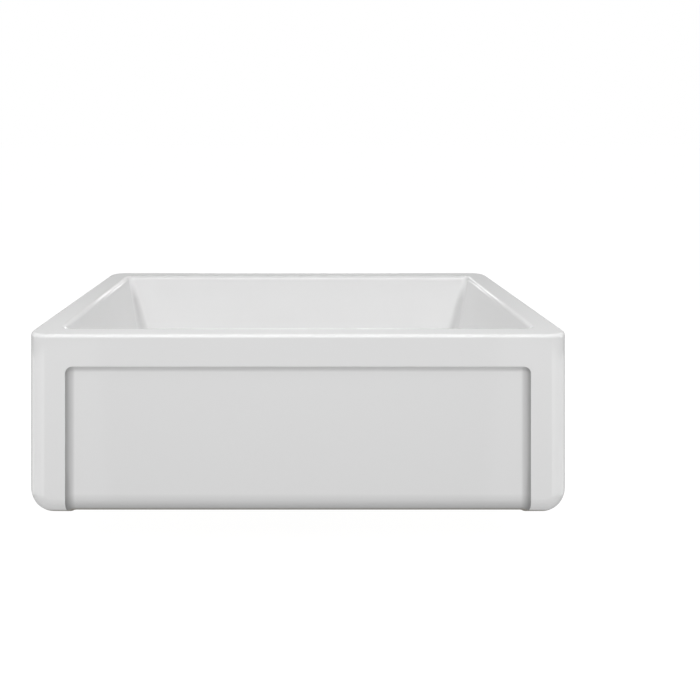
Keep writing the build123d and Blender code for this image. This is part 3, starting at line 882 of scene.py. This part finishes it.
def make_knob():
    """Polished pull knob: waisted neck, rounded rim, a turned groove and a dished top."""
    radius, low, high = extent("basket_knob")
    pole = 0.003  # radius of the flat closed end at the post
    neck = 0.0065
    chamfer = 0.0005
    waist = (neck + 0.0024, low + 0.0026)
    waist_radius = 0.0028
    rim = 0.0022
    skirt = low + 0.005
    groove = 0.00035
    groove_half = 0.0003
    groove_z = high - rim - 0.0009
    lip = (radius - 0.0035, high - 0.0001)
    dish_edge = (radius - 0.0050, high - 0.0007)
    dish_floor = (0.004, high - 0.0011)
    dish_middle = (0.0015, high - 0.0012)
    profile = (
        [(pole, low), (neck - chamfer, low), (neck, low + chamfer)]
        + arc(waist, waist_radius, 180, 120, 5)
        + arc((radius - rim, skirt + rim), rim, -90, 0, 7)
        + [(radius, groove_z - groove_half), (radius - groove, groove_z), (radius, groove_z + groove_half)]
        + arc((radius - rim, high - rim), rim, 0, 90, 7)
        + [lip, dish_edge, dish_floor, dish_middle]
    )
    knob = turned_knob("pull_knob", profile)
    smooth(knob, 30)
    return knob


# ================================================================ putting it together
def dress(piece, body, node, material):
    """The new piece stands for a node: it rides on its body and takes its slot's finish."""
    piece.data.materials.clear()
    piece.data.materials.append(material)
    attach(piece, body)
    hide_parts(node)


def finish_node(node, material):
    """A node that keeps its shape gets its detailed finish."""
    slots = frame["nodes"][node].material_slots
    for slot in slots:
        slot.link = "OBJECT"
        slot.material = material


def dress_strainer():
    rubber = moulded_rubber("moulded rubber", "black_rubber")
    seal_rubber = moulded_rubber("seal rubber", "black_rubber_seal")
    gasket_bore = 0.0432
    dress(make_strainer_body(), "sink", "strainer_body",
          spun_metal("polished flange steel", "strainer_steel", 0.12, 0.24, worn=0.3))
    dress(make_outlet_nipple(), "sink", "outlet_nipple",
          turned_brass("turned brass", "brass_thread"))
    dress(make_locknut(), "sink", "locknut", cast_zinc())
    dress(make_slip_nut(), "sink", "slip_nut",
          spun_metal("chromed nut", "chromed_nut", 0.05, 0.13, 0.002, 0.000004, worn=0.4))
    dress(make_tailpiece(), "sink", "tailpiece",
          spun_metal("chromed tube", "chromed_tube", 0.04, 0.11, 0.0015, 0.000002))
    dress(make_moulded_ring("ribbed_gasket", "rubber_gasket", gasket_bore, 0.0006, 0.00015),
          "sink", "rubber_gasket", rubber)
    dress(make_putty(), "sink", "sealing_putty", soft_putty())
    dress(make_moulded_ring("seal_disc", "stopper_seal", 0.0042, 0.0008, 0.00015),
          "stopper", "stopper_seal", seal_rubber)
    dress(make_knob(), "stopper", "basket_knob",
          spun_metal("polished knob steel", "knob_steel", 0.06, 0.14, 0.0006, 0.000002, worn=0.3))
    finish_node("outlet_spider", spun_metal("stamped steel", "stamped_steel", 0.25, 0.38))
    finish_node("friction_washer", fibre_card())
    finish_node("tailpiece_washer", moulded_nylon())
    finish_node("basket_cup", spun_metal("pressed basket steel", "basket_steel", 0.16, 0.30))
    finish_node("basket_hub", spun_metal("turned hub steel", "turned_steel", 0.2, 0.3, 0.0003, 0.000004))
    finish_node("post_spring_clip", spun_metal("spring steel", "spring_steel", 0.25, 0.35))
    finish_node("basket_post", spun_metal("turned post steel", "post_steel", 0.15, 0.28, 0.0003))
    finish_node("seal_plate", spun_metal("stamped plate steel", "plate_steel", 0.25, 0.38))
    finish_node("seal_nut", turned_brass("nut brass", "brass_nut"))


# ================================================================ studio
def make_floor():
    """Plain pale floor with a faint shadow. The surroundings give the light that it would throw up."""
    side = 400.0
    gap = 0.001
    glow = 0.96
    grey = (0.10, 0.10, 0.10, 1.0)
    deselect_all()
    bpy.ops.mesh.primitive_plane_add(size=side, location=(0, 0, cad_box[0].z - gap))
    floor = bpy.context.object
    floor.name = "floor"
    material = bpy.data.materials.new("pale floor")
    material.use_nodes = True
    tree = material.node_tree
    tree.nodes.clear()
    top = add_node(tree, "AddShader", {
        0: add_node(tree, "Emission", {"Color": (1, 1, 1, 1), "Strength": glow}).outputs[0],
        1: add_node(tree, "BsdfDiffuse", {"Color": grey}).outputs[0],
    }).outputs[0]
    back = add_node(tree, "NewGeometry", {}).outputs["Backfacing"]
    clear = add_node(tree, "BsdfTransparent", {}).outputs[0]
    surface = add_node(tree, "MixShader", {0: back, 1: top, 2: clear}).outputs[0]
    add_node(tree, "OutputMaterial", {"Surface": surface})
    floor.data.materials.append(material)
    floor.visible_diffuse = False
    floor.visible_glossy = False
    floor.visible_shadow = False


def add_softbox(name, place, target, width, height, brightness):
    """A rectangular light facing its target. Brightness is its radiance, where 1 lights white to white."""
    light = bpy.data.lights.new(name, "AREA")
    light.shape = "RECTANGLE"
    light.size = width
    light.size_y = height
    light.energy = brightness * pi * width * height
    softbox = bpy.data.objects.new(name, light)
    bpy.context.scene.collection.objects.link(softbox)
    softbox.location = place
    softbox.rotation_euler = (Vector(target) - Vector(place)).to_track_quat("-Z", "Y").to_euler()
    softbox.visible_camera = False


def light_low_sweep(side, hand):
    """Low boxes set round one side, whose reflections edge the sink's upright corners."""
    centre = Vector((0, -0.2, 0))
    radius = 2.0
    drop = 0.62
    height = 0.7
    sweep = (  # degrees round from straight in front, width, brightness
        (29, 0.40, 0.44), (39, 0.40, 1.45), (49, 0.40, 1.10), (60, 0.45, 0.82),
        (72, 0.50, 0.82), (90, 0.90, 0.82), (109, 0.90, 0.62),
    )
    for turn, width, brightness in sweep:
        away = Vector((side * sin(radians(turn)), -cos(radians(turn)), 0)) * radius
        place = centre + away - Vector((0, 0, drop))
        add_softbox(f"{hand} low box at {turn}", place, centre, width, height, brightness)


def light_studio():
    """A wide box high in front, a strip overhead, two boxes behind, a box and a low sweep at each side."""
    middle = (0, 0, 0.1)
    add_softbox("front box", (0, -1.7, 1.6), middle, width=2.4, height=0.7, brightness=4.68)
    add_softbox("high box", (0, -0.9, 2.1), middle, width=2.4, height=0.7, brightness=0.25)
    add_softbox("overhead strip", (0, -0.15, 1.9), (0, -0.15, 0), width=2.4, height=0.4, brightness=2.0)
    add_softbox("rear box", (0, 8, 3.01), (0, 0, sink_high.z), width=0.93, height=0.42, brightness=4.0)
    add_softbox("rear fill", (0, 2.6, 0.25), (0, 0.2, 0.13), width=1.1, height=0.7, brightness=5.0)
    for side, hand in ((-1, "left"), (1, "right")):
        place = (side * 2.2, -0.2, 0.5)
        add_softbox(hand + " side box", place, (0, -0.2, 0.13), width=0.7, height=1.4, brightness=2.5)
        light_low_sweep(side, hand)


def two_sided_glow(tree, along, positive, negative):
    """Light that fades with the square of the direction's share along an axis, with a strength each way."""
    squared = calculate(tree, "MULTIPLY", along, along)
    forwards = calculate(tree, "GREATER_THAN", along, 0.0)
    return calculate(tree, "MULTIPLY", squared, remap(tree, forwards, 0.0, 1.0, negative, positive))


def make_surroundings():
    """White behind the sink for the camera. All else sees a soft glow above, below, in front and behind."""
    glow_above = 0.67
    glow_below = 0.70
    glow_in_front = 0.33
    glow_behind = 0.37
    world = bpy.data.worlds.new("studio")
    bpy.context.scene.world = world
    world.use_nodes = True
    tree = world.node_tree
    tree.nodes.clear()
    facing = add_node(tree, "SeparateXYZ", {0: add_node(tree, "TexCoord", {}).outputs["Generated"]}).outputs
    glow = calculate(tree, "ADD",
                     two_sided_glow(tree, facing["Z"], glow_above, glow_below),
                     two_sided_glow(tree, facing["Y"], glow_behind, glow_in_front))
    ray = add_node(tree, "LightPath", {}).outputs
    strength = calculate(tree, "MAXIMUM", glow, ray["Is Camera Ray"])
    light = add_node(tree, "Background", {"Color": (1, 1, 1, 1), "Strength": strength}).outputs[0]
    add_node(tree, "OutputWorld", {"Surface": light})


def place_camera():
    """Level camera above the rim, framed by shift as the photograph is."""
    distance = 1.1786
    height = 0.524
    picture = 700.0  # pixels each way
    focal_pixels = 680.6
    right_of_middle = 52.0  # how far the picture's centre lies to the right of the sink's
    below_horizon = 206.5
    sensor = 36.0
    camera = bpy.data.cameras.new("camera")
    camera.sensor_width = sensor
    camera.lens = sensor * focal_pixels / picture
    camera.shift_x = right_of_middle / picture
    camera.shift_y = -below_horizon / picture
    holder = bpy.data.objects.new("camera", camera)
    bpy.context.scene.collection.objects.link(holder)
    holder.location = (0, -distance, height)
    holder.rotation_euler = (radians(90), 0, 0)
    bpy.context.scene.camera = holder


place_camera()
finish_node("basin", glazed_fireclay())
dress_strainer()
make_floor()
light_studio()
make_surroundings()
bpy.context.scene.view_settings.view_transform = "Standard"
